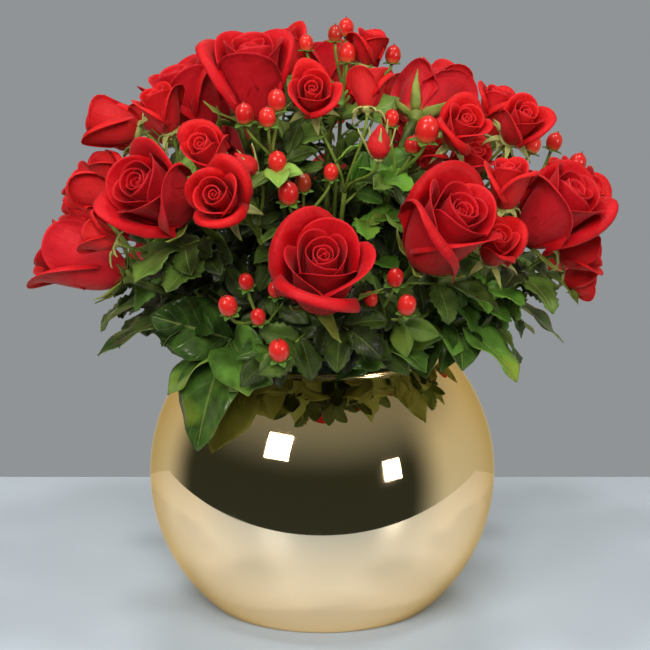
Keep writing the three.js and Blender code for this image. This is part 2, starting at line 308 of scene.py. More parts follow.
SPRAY_ROSES = [
    [[-86, 38, 188, 33, -90, 75], [-65, 31, 184, 26, -60, 25], [-85, 44, 172, 26, -85, 50]],
    [[-67, 49, 181, 28, -95, 62], [-53, 56, 176, 22, -85, 70]],
    [[-24, 46, 178, 35, -15, 68], [-33, 37, 177, 28, -30, 50], [-23, 36, 169, 16, -70, 45]],
    [[-4, 23, 185, 31, 0, 55], [20, 22, 186, 24, 180, 22], [18, 33, 176, 19, 12, 14]],
    [[73, 8, 193, 24, 60, 15], [-122, 7, 188, 30, -60, 20]],
    [[51, 32, 180, 31, 25, 50], [51, 29, 155, 20, 0, 30]],
    [[82, 31, 187, 24, 60, 20], [67, 37, 190, 28, 30, 45], [66, 34, 158, 25, 40, 40]],
    [[49, 46, 178, 27, 10, 15], [44, 54, 161, 29, 15, 45]],
    [[84, 53, 182, 29, 60, 60], [77, 57, 187, 14, 95, 82]],
    [[74, 61, 166, 25, 80, 85], [82, 67, 158, 23, 85, 100]],
    [[108, 38, 182, 30, 108, 40], [128, 28, 182, 30, 128, 30]],
    [[104, 52, 180, 28, 104, 55], [112, 68, 164, 26, 112, 75]],
    [[150, 58, 172, 30, 150, 55], [140, 70, 164, 26, 140, 75]],
    [[180, 37, 178, 30, 180, 38], [158, 30, 182, 24, 158, 25]],
    [[-152, 60, 170, 30, -152, 60], [-166, 71, 162, 26, -166, 78]],
    [[-126, 40, 182, 30, -126, 40], [-108, 42, 186, 28, -108, 45]],
    [[-98, 55, 167, 26, -98, 60], [-106, 69, 162, 26, -106, 75]],
    [[-137, 70, 162, 28, -137, 70], [-151, 74, 158, 22, -151, 80]],
]


def toward(bearing, tilt):
    """The direction at a bearing round the bowl, from the front, and a tilt from upright, in degrees."""
    around, down = np.radians(bearing), np.radians(tilt)
    return np.array([np.sin(down) * np.sin(around), -np.sin(down) * np.cos(around), np.cos(down)])


def unit(vectors):
    """Vectors at length one."""
    return vectors / np.maximum(np.linalg.norm(vectors, axis=-1, keepdims=True), 1e-9)


class Head:
    """Where a bloom or a berry sits: its width, its middle, the way it faces, its foot and its neck."""

    def __init__(self, bearing, tilt, reach, width, face_bearing, face_tilt, *rest):
        self.width = width * MM
        self.middle = HEART + reach * MM * toward(bearing, tilt)
        self.facing = toward(face_bearing, face_tilt)
        self.foot = self.middle - HEAD_MIDDLE * self.width * self.facing
        self.neck = self.foot + STEM_INTO_HEAD * self.width * self.facing

    def set_in_place(self, points):
        """Points of a head drawn one wide, foot at the origin and facing +Z, where this head holds them."""
        right = unit(np.cross([0, 0, 1], self.facing) + [1e-6, 0, 0])
        above = np.cross(self.facing, right)
        return self.foot + self.width * points @ np.stack([right, above, self.facing])


def plates(sheets, thickness):
    """Thin closed shells over sheets of points (sheet, across, along): each sheet moved half a thickness
    along its normals both ways, and joined round its margin."""
    count, wide, long = sheets.shape[:3]
    normals = unit(np.cross(np.gradient(sheets, axis=1), np.gradient(sheets, axis=2)))
    both = np.stack([sheets + normals * thickness / 2, sheets - normals * thickness / 2], 1)
    below = wide * long
    at = np.arange(below).reshape(wide, long)
    top = np.stack([at[:-1, :-1], at[1:, :-1], at[1:, 1:], at[:-1, 1:]], -1).reshape(-1, 4)
    loop = np.concatenate([at[:-1, 0], at[-1, :-1], at[:0:-1, -1], at[0, :0:-1]])
    rim = np.stack([np.roll(loop, -1), loop, loop + below, np.roll(loop, -1) + below], -1)
    one = np.concatenate([top, top[:, ::-1] + below, rim])
    step = np.arange(count)[:, None, None] * 2 * below
    return both.reshape(-1, 3), (one[None] + step).reshape(-1, 4).tolist()


def take_plates(bunch, sheets, thickness, finish, tones):
    """Puts such shells into a bunch, each with its tone. A point's place is its way across, from -1 to 1,
    and along, from 0 to 1, and 1 on the side that the normals point to."""
    count, wide, long = sheets.shape[:3]
    marks = np.meshgrid(np.linspace(-1, 1, wide), np.linspace(0, 1, long), [1, 0], indexing="ij")
    places = np.stack(marks, -1).transpose(2, 0, 1, 3).reshape(-1, 3)
    tones = np.repeat(np.broadcast_to(tones, count), len(places))
    bunch.take(plates(sheets, thickness), finish, np.tile(places, (count, 1)), tones)


def bloom(petals, opened, turn, seed):
    """The petals of a rose one wide, foot at the origin and axis +Z, as sheets of points.

    Petals stand at golden angles from the tight heart to the outside. Up its middle a petal follows a line
    whose slant blends five slants, from flat at the claw to upright, and near the margin a roll is added,
    more for outer petals and more at their corners, which leaves a soft point. The line is scaled to the
    petal's own girth and height. Across, it wraps round the axis, one margin tucked under its neighbour.
    """
    rng = np.random.default_rng(seed)
    count, wide, long = petals
    age = np.linspace(0, 1, count)[:, None, None] ** 1.15
    stands = np.radians(turn) + np.arange(count)[:, None, None] * GOLDEN_ANGLE
    side = np.linspace(-1, 1, wide)[None, :, None]
    even = np.linspace(0, 1, long)[None, None, :]
    up = 1 - (1 - even) ** 1.35
    steps = [0, 0.35, 0.6, 0.85, 1]

    def by_age(*values):
        return np.interp(age, steps, values)

    def jitter(amount):
        return rng.uniform(-amount, amount, (count, 1, 1))

    fall = by_age(0.1, 0.12, 0.16, 0.24, 0.3) + jitter(0.03)
    reach = up * (1 - fall * np.abs(side) ** 2.4 - 0.2 * np.abs(side) ** 9)
    swing = 3 * np.sin(stands + rng.uniform(0, FULL_TURN))
    swing = swing + 1.5 * np.sin(2 * stands + rng.uniform(0, FULL_TURN))
    lean = opened * 16 * age ** 2 + (swing + jitter(0.8)) * age
    slants = [
        by_age(70, 80, 86, 90, 92),
        by_age(12, 14, 18, 28, 38) + lean,
        by_age(2, -2, -2, 4, 12) + lean,
        by_age(-8, -6, -4, 0, 4) + lean,
        by_age(-14, -6, 2, 10, 16) + lean + jitter(2),
    ]
    blend = [n * reach ** k * (1 - reach) ** (4 - k) for k, n in enumerate([1, 4, 6, 4, 1])]
    slant = sum(part * angle for part, angle in zip(blend, slants))
    edge = np.clip((up - 0.62) / 0.38, 0, 1) ** 1.6
    corner = 1 + 0.7 * np.abs(side) ** 2
    roll = (by_age(4, 10, 20, 52, 95) + jitter(10) * age) * (0.6 + 0.7 * opened)
    waves = side * rng.uniform(2, 4, (count, 1, 1))
    ripple = 1 + 0.22 * np.sin(waves + rng.uniform(0, FULL_TURN, (count, 1, 1)))
    slant = np.radians(slant + roll * corner * ripple * edge)

    length = np.diff(reach, axis=2, prepend=0)
    halfway = (slant + np.roll(slant, 1, axis=2)) / 2
    halfway[:, :, 0] = slant[:, :, 0]
    out = np.cumsum(np.sin(halfway) * length, axis=2)
    rise = np.cumsum(np.cos(halfway) * length, axis=2)
    middle = wide // 2
    belly = int(long * 0.45)
    core = 0.055
    girth = by_age(0.03, 0.14, 0.24, 0.335, 0.4 + 0.02 * opened) - core
    tall = 1.26 - 0.36 * opened
    top = (by_age(0.84, 0.92, 0.96, 0.96, 0.94) - 0.06 * opened * age + jitter(0.015)) * tall - 0.1
    out = out * girth / out[:, middle:middle + 1, belly:belly + 1]
    rise = rise * top / rise[:, middle:middle + 1].max(axis=2, keepdims=True)

    tuck = by_age(0.2, 0.13, 0.09, 0.07, 0.06)
    uneven = 0.008 * np.sin(side * 4.3 + rng.uniform(0, FULL_TURN, (count, 1, 1))) * up * (0.3 + age)
    radius = (core + out) * (1 + tuck * side) + uneven
    wrap = np.radians(by_age(150, 118, 100, 88, 80) * (1 + jitter(0.07)))
    widest = core + girth * 1.02
    wrap = wrap * np.minimum(1, widest / np.maximum(radius, 1e-4)) ** 0.75
    around = stands + jitter(0.14) + side * wrap
    radius = radius + 0.03 * age * np.abs(side) ** 5 * up
    outline = [radius[(around // np.radians(15)) % 24 == sector].max() for sector in range(24)]
    scale = 0.5 / np.mean(outline)
    return turned(scale * radius, around, 0.1 + rise)


def pressed(points, own, others):
    """Points of a bloom, held back softly at the plane where it meets each neighbour it leans on."""
    for other in others:
        between = other.middle - own.middle
        gap = np.linalg.norm(between)
        mine, theirs = 0.5 * own.width, 0.5 * other.width
        if other is own or gap > mine + theirs:
            continue
        way = between / gap
        wall = (gap ** 2 + mine ** 2 - theirs ** 2) / (2 * gap)
        give = 0.3 * mine
        over = (points - own.middle) @ way - (wall - give)
        back = np.where(over > 0, over - give * (1 - np.exp(-np.maximum(over, 0) / give)), 0)
        points = points - back[..., None] * way
    return points


def curve(start, start_way, end, end_way, count):
    """Points on the smooth line that leaves start along start_way and arrives at end along end_way: a cubic
    whose handles are a third of the distance."""
    handle = np.linalg.norm(end - start) / 3
    t = np.linspace(0, 1, count)[:, None]
    a, b = start + handle * start_way, end - handle * end_way
    return (1 - t) ** 3 * start + 3 * t * (1 - t) ** 2 * a + 3 * t ** 2 * (1 - t) * b + t ** 3 * end


def tube(line, radius, sides=STEM_SIDES):
    """A round closed shape along a line of points, of a radius given for all or for each of its points."""
    ways = unit(np.gradient(line, axis=0))
    aside = np.eye(3)[np.argmin(np.abs(ways.mean(axis=0)))]
    first = unit(np.cross(ways, aside))
    second = np.cross(ways, first)
    turns = np.linspace(0, 2 * np.pi, sides, endpoint=False)[None, :, None]
    ring = np.cos(turns) * first[:, None] + np.sin(turns) * second[:, None]
    return skin(line[:, None] + np.broadcast_to(radius, len(line))[:, None, None] * ring)


def seat_for(place):
    """The way a stem points where it goes into the foam, and its cut end inside."""
    away = unit(place - HEART)
    tilt = np.degrees(np.arccos(away[2]))
    bearing = np.degrees(np.arctan2(away[0], -away[1]))
    way = toward(bearing, SEAT_LEAN * tilt)
    mouth = SEAT_SPREAD * tilt * toward(bearing, 90) + [0, 0, FOAM_TOP]
    return way, mouth - STEM_DEPTH * way


LEAF_OUTLINES = {
    "oval": ([0, .06, .2, .4, .6, .8, .93, 1], [.06, .34, .78, 1, .92, .56, .22, .03], 0.1),
    "sepal": ([0, .1, .3, .5, .7, .9, 1], [.7, 1, .9, .62, .36, .14, .04], 0),
    "ivy": ([0, .05, .15, .26, .38, .5, .6, .74, .88, 1],
            [.2, .7, 1, .92, .7, .78, .62, .36, .18, .03], 0.32),
    "toothed": ([0, .06, .2, .4, .6, .8, .93, 1], [.1, .46, .86, 1, .88, .58, .26, .03], 0.25),
}


def leaf_sheets(bases, ways, ups, lengths, rng, outline, width, fold, droop, wave, wide, long):
    """Sheets of points for leaves, each from its base along its way, with its face towards its up.

    The midrib leaves along the way and bends down evenly by the droop, in radians. The blade is as wide as
    its outline says and leans forwards from the midrib, its two halves are folded up from the midrib, and
    a wave runs along the margins.
    """
    count = len(lengths)
    marks, halves, shear = LEAF_OUTLINES[outline]
    side = np.linspace(-1, 1, wide)[None, :, None]
    t = np.linspace(0, 1, long)[None, None, :]
    half = np.interp(t, marks, halves) * width / 2
    if outline == "toothed":
        half = half * (1 + 0.1 * (np.abs(side) > 0.9) * np.where(np.arange(long) % 2, 1, -1)[None, None, :])
    droops = (droop * rng.uniform(0.6, 1.4, count))[:, None, None]
    folds = (fold * rng.uniform(0.6, 1.4, count))[:, None, None]
    waves = (wave * rng.uniform(0.5, 1.5, count))[:, None, None]
    phase = rng.uniform(0, FULL_TURN, count)[:, None, None]
    slope = -droops * t ** 1.2
    step = np.diff(t, axis=2, prepend=0)
    ahead = np.cumsum(np.cos(slope) * step, axis=2)
    above = np.cumsum(np.sin(slope) * step, axis=2)
    spread = side * half
    lift = np.abs(spread) * np.sin(folds) * (1 - 0.55 * np.abs(side)) * 1.6
    lift = lift + waves * side ** 2 * np.sin(9 * t + phase + 1.3 * side) * np.minimum(1, 4 * (1 - t))
    lean = shear * np.abs(spread)
    ahead = ahead + np.cos(slope) * lean - np.sin(slope) * lift
    above = above + np.sin(slope) * lean + np.cos(slope) * lift
    ways = unit(ways)
    sides = unit(np.cross(ways, ups))
    tops = np.cross(sides, ways)
    long_way = np.asarray(lengths)[:, None, None, None]
    across, forward, upward = (axis[:, None, None, :] for axis in (sides, ways, tops))
    shape = spread[..., None] * np.cos(folds)[..., None] * across
    shape = shape + ahead[..., None] * forward + above[..., None] * upward
    return bases[:, None, None, :] + long_way * shape


def own_marks(tree):
    """The marks that a petal's, a leaf's or a berry's points carry: the place, its parts and the tone."""
    place = add_node(tree, "Attribute", attribute_name="place")["Vector"]
    across, along, side = add_node(tree, "SeparateXYZ", {"Vector": place}).values()
    return place, across, along, side, add_node(tree, "Attribute", attribute_name="tone")["Fac"]


def rose_petal(name, inner, outer, vein, glow):
    """Rose petal: a velvet of tiny cone cells on the inside, which scatters light at a glance and looks
    deep red face on, a smoother, pinker back, fine lengthwise veins and a pale claw. Each side's colour
    lies between two, and glow is how much light goes through the flesh."""
    finish, tree = new_finish(
        name, Roughness=0.55, Subsurface_Weight=glow, Subsurface_Scale=1.5 * MM,
        Subsurface_Radius=(1.0, 0.12, 0.1), Sheen_Weight=0.08, Sheen_Roughness=0.4,
        Sheen_Tint=linear("#FF9AA4"), Specular_IOR_Level=0.25)
    place, _, along, side, tone = own_marks(tree)
    spot = add_node(tree, "TexCoord")["Object"]
    stretch = (HALF_PETAL / PETAL_VEIN, 1.6, 3.0)
    stretched = add_node(tree, "VectorMath", {0: place, 1: stretch}, operation="MULTIPLY")["Vector"]
    shifted = add_node(tree, "Math", {0: tone, 1: 40.0}, operation="MULTIPLY")["Value"]
    veins = add_node(tree, "TexNoise", {"Vector": stretched, "W": shifted, "Scale": 1.0, "Detail": 2.0},
                     noise_dimensions="4D")["Fac"]
    patches = add_node(tree, "TexNoise", {"Vector": spot, "Scale": 1 / PETAL_PATCH, "Detail": 2.0})["Fac"]
    deep, pale = [laid_over(tree, linear(low), high, tone) for low, high in (inner, outer)]
    colour = add_node(tree, "MixRGB", {"Fac": side, "Color1": deep, "Color2": pale})["Color"]
    colour = laid_over(tree, colour, vein, veins, 0.3, 0.75, 0.4)
    colour = laid_over(tree, colour, "#D42634", patches, 0.4, 0.75, 0.35)
    # Painted sheen: a pinker line along the petal's top margin, where its rolled edge catches the light.
    colour = laid_over(tree, colour, "#D83444", along, 0.93, 1.0, 0.1)
    colour = laid_over(tree, colour, "#B8A060", along, 0.16, 0.02, 0.6)
    creases = add_node(tree, "TexNoise", {"Vector": spot, "Scale": 1 / PETAL_CREASE, "Detail": 2.0})["Fac"]
    raised = add_node(tree, "Math", {0: creases, 1: 2.0, 2: veins}, operation="MULTIPLY_ADD")["Value"]
    relief = add_node(tree, "Bump", {"Height": raised, "Strength": 0.5, "Distance": 0.7 * MM})["Normal"]
    return connect(finish, Base_Color=colour, Normal=relief)


def green_skin(name, dark, light, roughness):
    """Young stem or calyx: smooth waxy skin, flecked with a lighter green, more so where its tone is high."""
    finish, tree = new_finish(name, Roughness=roughness, Specular_IOR_Level=0.4)
    tone = add_node(tree, "Attribute", attribute_name="tone")["Fac"]
    spot = add_node(tree, "TexCoord")["Object"]
    flecks = add_node(tree, "TexNoise", {"Vector": spot, "Scale": 1 / STEM_FLECK, "Detail": 3.0})["Fac"]
    mixed = add_node(tree, "Math", {0: flecks, 1: tone}, operation="ADD")["Value"]
    colour = laid_over(tree, linear(dark), light, mixed, 0.5, 1.5)
    relief = add_node(tree, "Bump", {"Height": flecks, "Strength": 0.25, "Distance": 0.3 * MM})["Normal"]
    return connect(finish, Base_Color=colour, Normal=relief)


def leaf_blade(name, dark, light, under, roughness, ribs, deep):
    """Leaf blade: waxy upper side between sunken side veins that leave the pale midrib at a slant, as many
    as ribs says, and a paler, duller underside on which they stand out. Leaves deep in the dome are darkened
    with painted shade: deep holds the distances from its heart where it is at its full and where it ends."""
    finish, tree = new_finish(name, Specular_IOR_Level=0.35, Subsurface_Weight=0.05,
                              Subsurface_Scale=1 * MM, Subsurface_Radius=(0.3, 1.0, 0.1))
    _, across, along, side, tone = own_marks(tree)
    spot = add_node(tree, "TexCoord")["Object"]
    off = add_node(tree, "Math", {0: across}, operation="ABSOLUTE")["Value"]
    slanted = add_node(tree, "Math", {0: off, 1: -0.28, 2: along}, operation="MULTIPLY_ADD")["Value"]
    rhythm = add_node(tree, "Math", {0: slanted, 1: ribs}, operation="MULTIPLY")["Value"]
    saw = add_node(tree, "Math", {0: rhythm}, operation="FRACT")["Value"]
    tent = add_node(tree, "Math", {0: saw, 1: 0.5}, operation="SUBTRACT")["Value"]
    tent = add_node(tree, "Math", {0: tent}, operation="ABSOLUTE")["Value"]
    vein = add_node(tree, "MapRange", {"Value": tent, "From Min": 0.0, "From Max": 0.1,
                                       "To Min": 1.0, "To Max": 0.0})["Result"]
    midrib = add_node(tree, "MapRange", {"Value": off, "From Min": 0.02, "From Max": 0.06,
                                         "To Min": 1.0, "To Max": 0.0})["Result"]
    flecks = add_node(tree, "TexNoise", {"Vector": spot, "Scale": 1 / LEAF_FLECK, "Detail": 4.0})["Fac"]
    mixed = add_node(tree, "Math", {0: flecks, 1: tone}, operation="ADD")["Value"]
    share = add_node(tree, "MapRange", {"Value": mixed, "From Min": 0.5, "From Max": 1.5})["Result"]
    share = add_node(tree, "Math", {0: share, 1: 1.6}, operation="POWER")["Value"]
    upper = laid_over(tree, linear(dark), light, share)
    patches = add_node(tree, "TexNoise", {"Vector": spot, "Scale": 1 / LEAF_PATCH, "Detail": 1.0})["Fac"]
    patches = add_node(tree, "Math", {0: tone, 1: 0.3, 2: patches}, operation="MULTIPLY_ADD")["Value"]
    upper = laid_over(tree, upper, "#8A9C34", patches, 0.76, 0.96, 0.6)
    colour = add_node(tree, "MixRGB", {"Fac": side, "Color1": linear(under), "Color2": upper})["Color"]
    colour = laid_over(tree, colour, "#7E9A4C", vein, most=0.12)
    colour = laid_over(tree, colour, "#A8B86A", midrib, most=0.25)
    # Painted shade: a near-black green laid over leaves near the heart of the dome.
    depth = add_node(tree, "VectorMath", {0: spot, 1: HEART}, operation="DISTANCE")["Value"]
    colour = laid_over(tree, colour, "#040A02", depth, deep[1], deep[0], 0.85)
    dull = add_node(tree, "MapRange", {"Value": side, "To Min": 0.6, "To Max": roughness})["Result"]
    lines = add_node(tree, "Math", {0: vein, 1: midrib}, operation="MAXIMUM")["Value"]
    raised = add_node(tree, "Math", {0: flecks, 1: lines}, operation="SUBTRACT")["Value"]
    relief = add_node(tree, "Bump", {"Height": raised, "Strength": 0.35, "Distance": 0.5 * MM})["Normal"]
    return connect(finish, Base_Color=colour, Roughness=dull, Normal=relief)


petal_finish = rose_petal("velvet_rose_petal", ("#A8050C", "#C20E19"), ("#A80D18", "#C01E2A"),
                          "#8E0410", 0.12)
stem_finish = green_skin("rose_stem_skin", "#0A1806", "#88A444", 0.4)
calyx_finish = green_skin("rose_calyx_skin", "#3E5C24", "#929C48", 0.5)
pale_calyx_finish = green_skin("pale_spray_calyx_skin", "#74843E", "#BCC07C", 0.5)
rose_leaf_finish = leaf_blade("rose_leaf_blade", "#050E03", "#7CA446", "#6E8850", 0.4, 9.0,
                              (90 * MM, 165 * MM))


def take_petals(bunch, head, others, finish, petals, opened, turn, seed):
    """Puts a bloom's petals into the bunch, pressed by its neighbours."""
    sheets = pressed(head.set_in_place(bloom(petals, opened, turn, seed)), head, others)
    tones = np.random.default_rng(seed).uniform(0.1, 0.9, len(sheets))
    take_plates(bunch, sheets, PETAL_THICKNESS, finish, tones)


def take_calyx(bunch, head, seed, finish, sepal=0.56, clasp=12, hip=0.1, width=0.28, droop=-0.8):
    """Puts a calyx under a bloom: a turned hip that widens from the stem and closes under the petals, and
    five pointed sepals round its rim. clasp is how far they stand up from level, in degrees, and droop how
    far they bend out from there, in radians."""
    rng = np.random.default_rng(seed)
    heights = np.array([-.04, 0, .03, .07, .11, .14, .17, .18])
    girths = np.array([.042, .045, .07, hip, hip * 1.05, hip * .95, hip * .6, .004])
    rings, faces = tube(heights[:, None] * [0, 0, 1], girths, 12)
    bunch.take((head.set_in_place(rings), faces), finish, tones=0.4)
    out = turned(1, np.radians(rng.uniform(0, 72) + 72 * np.arange(5) + rng.uniform(-8, 8, 5)), 0)
    up = np.radians(clasp + rng.uniform(-16, 16, 5))[:, None]
    ways = out * np.cos(up) + np.sin(up) * [0, 0, 1]
    ups = np.cos(up) * [0, 0, 1] - out * np.sin(up)
    lengths = sepal * rng.uniform(0.8, 1.15, 5)
    bases = out * hip * 0.9 + [0, 0, 0.08]
    sheets = leaf_sheets(bases, ways, ups, lengths, rng, width=width, droop=droop, **SEPAL)
    take_plates(bunch, head.set_in_place(sheets), SEPAL_THICKNESS, finish, 0.55)


def take_stem(bunch, line, radius, top_tone):
    """Puts a stem in along a line, a fifth thinner at its top and of a lighter green there; its darker
    green lower down, deep in the dome, is painted shade.
    """
    tones = np.repeat(np.linspace(0, top_tone, len(line)), STEM_SIDES)
    bunch.take(tube(line, np.linspace(1, 0.8, len(line)) * radius), stem_finish, tones=tones)


def take_stem_leaves(bunch, line, shares, length, rng, finish, outline="toothed"):
    """Puts compound leaves on a stem: at each share of its length a stalk with a leaflet at its end and two
    pairs below it."""
    ways = unit(np.gradient(line, axis=0))
    for share in shares:
        at = int(share * (len(line) - 1))
        base, way = line[at], ways[at]
        aside = unit(np.cross(way, unit(rng.normal(size=3))))
        stalk_way = unit(aside + 0.7 * way)
        stalk_end = base + length * 0.9 * stalk_way + [0, 0, 0.1 * length]
        stalk = curve(base, unit(way + aside), stalk_end, stalk_way, 6)
        bunch.take(tube(stalk, np.linspace(0.9, 0.5, 6) * MM, 5), stem_finish, tones=0.6)
        out = unit(stalk_way + LEAFLET_TURNS * unit(np.cross(stalk_way, way)))
        ups = way + rng.normal(0, 0.25, (5, 3))
        lengths = length * LEAFLET_SIZES * rng.uniform(0.85, 1.15, 5)
        sheets = leaf_sheets(stalk[[-1, 4, 4, 2, 2]], out, ups, lengths, rng, outline, 0.66, **LEAFLET)
        # Tones scale with the share, so leaves lower on the stem, deeper in the dome, are darker: painted
        # shade.
        take_plates(bunch, sheets, LEAF_THICKNESS, finish, rng.uniform(0.1, 1, 5) * share)


large_heads = [Head(*row) for row in LARGE_ROSES]
spray_heads = [[Head(*row) for row in rows] for rows in SPRAY_ROSES]
all_heads = large_heads + [head for heads in spray_heads for head in heads]

for number, (row, head) in enumerate(zip(LARGE_ROSES, large_heads), 1):
    node = f"rose_{number:02d}"
    opened, turn = row[-2:]
    petals, greens = Bunch(), Bunch()
    take_petals(petals, head, all_heads, petal_finish, LARGE_PETALS, opened, turn, number)
    take_calyx(greens, head, number + CALYX_SEED, calyx_finish)
    way, cut = seat_for(head.middle)
    line = curve(cut, way, head.neck, head.facing, 20)
    take_stem(greens, line, LARGE_STEM, 0.2)
    # Five leaves on a stem behind the middle, four on one in front, and two if its bloom looks back.
    leaves = 5 if head.foot[1] > 0 else 4 if head.facing[1] < 0 else 2
    rng = np.random.default_rng(number + LARGE_LEAF_SEED)
    take_stem_leaves(greens, line, LEAF_SHARES[:leaves], LARGE_LEAF, rng, rose_leaf_finish)
    petals.piece(node + "_petals", "rose_petal", node)
    greens.piece(node + "_greens", "stem_and_calyx", node)

# ---- Spray roses ----
# Eighteen cut stems of small roses, each forked below its two or three blooms. They have fewer petals than
# the large ones, and the smallest heads are still buds, closed and clasped by their sepals.

SPRAY_STEM = 1.7 * MM
TWIG = 0.9 * MM
SPRAY_FORK = 42 * MM
SPRAY_LEAF = 27 * MM
TWIG_LEAF = 21 * MM
LARGEST_BUD = 19 * MM
SPRAY_PETALS = (13, 11, 10)
BUD_PETALS = (6, 11, 11)
BUD_CALYX = dict(sepal=1.0, clasp=62, hip=0.16, width=0.24, droop=-0.35)
SPRAY_SEED = 300
SPRAY_LEAF_SEED = 2226

spray_petal_finish = rose_petal("velvet_spray_rose_petal", ("#BC0A0F", "#D61C1E"), ("#B8161C", "#D02A2C"),
                                "#9E0A10", 0.25)
young_leaf_finish = leaf_blade("young_rose_leaf_blade", "#123608", "#7EBE44", "#8CB05A", 0.42, 9.0,
                               (85 * MM, 150 * MM))


def take_bud(bunch, head, seed):
    """Puts a closed bud into the bunch: a few petals wound tightly into a pointed egg."""
    rng = np.random.default_rng(seed)
    count, wide, long = BUD_PETALS
    layer = np.arange(count)[:, None, None]
    side = np.linspace(-1, 1, wide)[None, :, None]
    t = np.linspace(0, 1, long)[None, None, :]
    girth = np.interp(t, [0, .15, .4, .7, .9, 1], [.1, .26, .36, .28, .13, .015]) * (0.72 + 0.05 * layer)
    around = layer * GOLDEN_ANGLE + side * np.radians(120) + rng.uniform(0, FULL_TURN)
    height = 0.12 + t * (1.0 - 0.025 * layer) - 0.1 * np.abs(side) ** 3 * t
    sheets = head.set_in_place(turned(girth * (1 + 0.07 * side), around, height))
    take_plates(bunch, sheets, PETAL_THICKNESS, spray_petal_finish, rng.uniform(0.2, 0.7, count))


def take_fork(bunch, heads, stem_radius, below):
    """Puts a cut stem that forks below its heads and sends a twig to each. Gives back the stem's line
    and the twigs' lines."""
    middle = np.mean([head.neck for head in heads], axis=0)
    way, cut = seat_for(middle)
    outward = unit(middle - HEART)
    fork = middle - below * outward
    line = curve(cut, way, fork, outward, 14)
    take_stem(bunch, line, stem_radius, 0.5)
    twigs = np.array([curve(fork - 2 * MM * outward, outward, head.neck, head.facing, 10) for head in heads])
    for twig in twigs:
        bunch.take(tube(twig, TWIG, 6), stem_finish, tones=0.6)
    return line, twigs


for number, heads in enumerate(spray_heads, 1):
    node = f"spray_rose_{number:02d}"
    petals, greens = Bunch(), Bunch()
    for order, head in enumerate(heads):
        seed = number * 10 + order + SPRAY_SEED
        if head.width <= LARGEST_BUD:
            take_bud(petals, head, seed)
            take_calyx(greens, head, seed, pale_calyx_finish, **BUD_CALYX)
        else:
            opened, sepal = np.random.default_rng(seed).uniform([0.2, 0.2], [0.9, 0.46])
            take_petals(petals, head, all_heads, spray_petal_finish, SPRAY_PETALS, opened, seed * 77, seed)
            take_calyx(greens, head, seed, pale_calyx_finish, sepal, clasp=0, hip=0.19, width=0.17 / sepal,
                       droop=1.4 - sepal)
    line, twigs = take_fork(greens, heads, SPRAY_STEM, SPRAY_FORK)
    rng = np.random.default_rng(number + SPRAY_LEAF_SEED)
    finish = rose_leaf_finish if number % 2 else young_leaf_finish
    take_stem_leaves(greens, line, [0.6, 0.8, 0.97], SPRAY_LEAF, rng, finish)
    up_twig = unit(twigs[:, 5] - twigs[:, 3])
    ways = unit(up_twig + 0.9 * unit(rng.normal(size=up_twig.shape)))
    lengths = TWIG_LEAF * rng.uniform(0.8, 1.2, len(twigs))
    sheets = leaf_sheets(twigs[:, 3], ways, up_twig, lengths, rng, "toothed", 0.6, **LEAFLET)
    take_plates(greens, sheets, LEAF_THICKNESS, finish, rng.uniform(0.2, 1, len(twigs)))
    petals.piece(node + "_petals", "spray_petal", node)
    greens.piece(node + "_greens", "stem_and_calyx", node)

# ---- Berried sprigs ----
# Cut hypericum: each stem forks to two to five glossy red berries. A berry is an egg with a short beak, and
# sits in a calyx of five blunt green sepals. A stem's row holds its berries' bearing, tilt, reach and width.

SPRIG_STEM = 1.3 * MM
SPRIG_FORK = 26 * MM
SPRIG_LEAF = 21 * MM
BERRY_UPRIGHT = 0.45
BERRY_SIDES = 16
BERRY_SEPAL = dict(outline="oval", width=0.7, fold=0.3, droop=0.5, wave=0.02, wide=5, long=8)
BERRY_SEED = 18997
SPRIG_LEAF_SEED = 950

BERRY_SPRIGS = [
    [[-15, 28, 192, 11], [-16, 32, 191, 10], [-24, 31, 190, 11]],
    [[-15, 33, 164, 11], [-10, 39, 158, 12], [-7, 33, 150, 10], [4, 28, 147, 9]],
    [[44, 6, 189, 11], [108, 4, 201, 10], [-60, 3, 193, 9], [20, 6, 200, 9], [91, 12, 190, 10]],
    [[37, 31, 178, 14], [30, 25, 174, 9], [39, 28, 162, 9]],
    [[21, 61, 139, 11], [19, 55, 141, 10], [13, 58, 130, 9]],
    [[-22, 62, 145, 11], [-17, 62, 128, 9], [-22, 54, 130, 9]],
    [[-10, 70, 134, 12], [-15, 53, 118, 9]],
    [[84, 43, 190, 10], [80, 48, 192, 11]],
    [[120, 44, 184, 11], [115, 47, 188, 11]],
    [[-166, 50, 172, 11], [-162, 54, 176, 11], [-171, 53, 174, 10]],
    [[-160, 31, 184, 11], [-165, 28, 187, 10]],
]


def berry_skin():
    """Ripe hypericum berry: tight wax-bright red skin, orange at its foot and brown on its beak, with faint
    seams along it. The berries of the lowest tones are still brownish."""
    finish, tree = new_finish("hypericum_berry_skin", Roughness=0.3, Coat_Weight=0.2, Coat_Roughness=0.2,
                              Subsurface_Weight=0.15, Subsurface_Scale=1.5 * MM,
                              Subsurface_Radius=(1.0, 0.2, 0.1))
    _, across, along, _, tone = own_marks(tree)
    colour = laid_over(tree, linear("#B01418"), "#D62C26", tone)
    colour = laid_over(tree, colour, "#EE8A50", along, 0.35, 0.05, 0.7)
    colour = laid_over(tree, colour, "#743A1C", tone, 0.18, 0.1, 0.6)
    colour = laid_over(tree, colour, "#5A2010", along, 0.9, 0.99)
    seams = add_node(tree, "Math", {0: across, 1: 3.0 * np.pi}, operation="MULTIPLY")["Value"]
    seams = add_node(tree, "Math", {0: seams}, operation="COSINE")["Value"]
    relief = add_node(tree, "Bump", {"Height": seams, "Strength": 0.15, "Distance": 0.3 * MM})["Normal"]
    return connect(finish, Base_Color=colour, Normal=relief)


berry_finish = berry_skin()
berry_calyx_finish = green_skin("hypericum_calyx_skin", "#28501C", "#608A38", 0.45)


